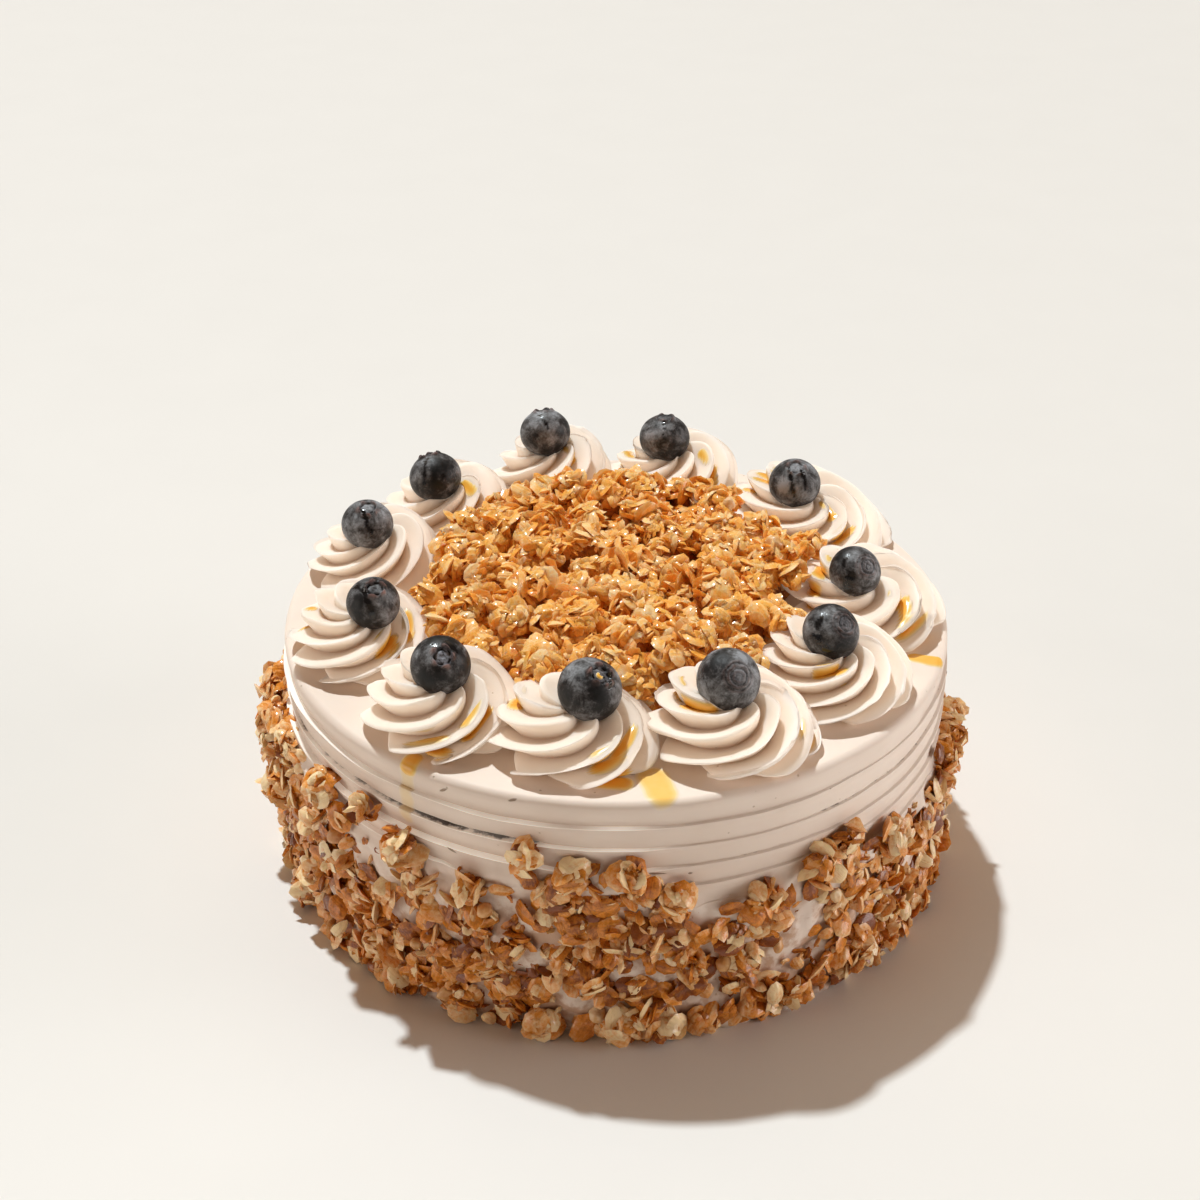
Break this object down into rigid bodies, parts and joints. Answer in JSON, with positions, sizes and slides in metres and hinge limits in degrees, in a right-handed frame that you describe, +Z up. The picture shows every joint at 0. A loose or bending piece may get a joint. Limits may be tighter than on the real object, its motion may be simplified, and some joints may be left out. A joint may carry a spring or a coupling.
{
  "type": "blueberry coffee cake",
  "caption": "Round frosted cake with combed sides, a crust of caramelised oats, piped rosettes topped with blueberries and a heap of oats in the middle.",
  "frame": {"origin": "middle of the flat underside of the cake", "axes": "+Z up, out of the top of the cake; -Y towards the picture's viewer, +X to the viewer's right"},
  "size_m": [0.202, 0.2019, 0.1008],
  "materials": {
    "frosting": "smooth coffee cream, combed, pinkish beige, soft sheen",
    "piped_cream": "piped coffee cream, pinkish beige, soft satin sheen",
    "berry_skin": "blueberry skin, blue-black with a grey bloom, wet in places",
    "caramel_oats": "rolled oats in caramel, golden brown, glossy"
  },
  "bodies": {
    "root": {"cake": "frosting", "rosette_01": "piped_cream", "rosette_02": "piped_cream", "rosette_03": "piped_cream", "rosette_04": "piped_cream", "rosette_05": "piped_cream", "rosette_06": "piped_cream", "rosette_07": "piped_cream", "rosette_08": "piped_cream", "rosette_09": "piped_cream", "rosette_10": "piped_cream", "rosette_11": "piped_cream", "blueberry_01": "berry_skin", "blueberry_02": "berry_skin", "blueberry_03": "berry_skin", "blueberry_04": "berry_skin", "blueberry_05": "berry_skin", "blueberry_06": "berry_skin", "blueberry_07": "berry_skin", "blueberry_08": "berry_skin", "blueberry_09": "berry_skin", "blueberry_10": "berry_skin", "blueberry_11": "berry_skin", "oat_heap": "caramel_oats"}
  },
  "joints": []
}
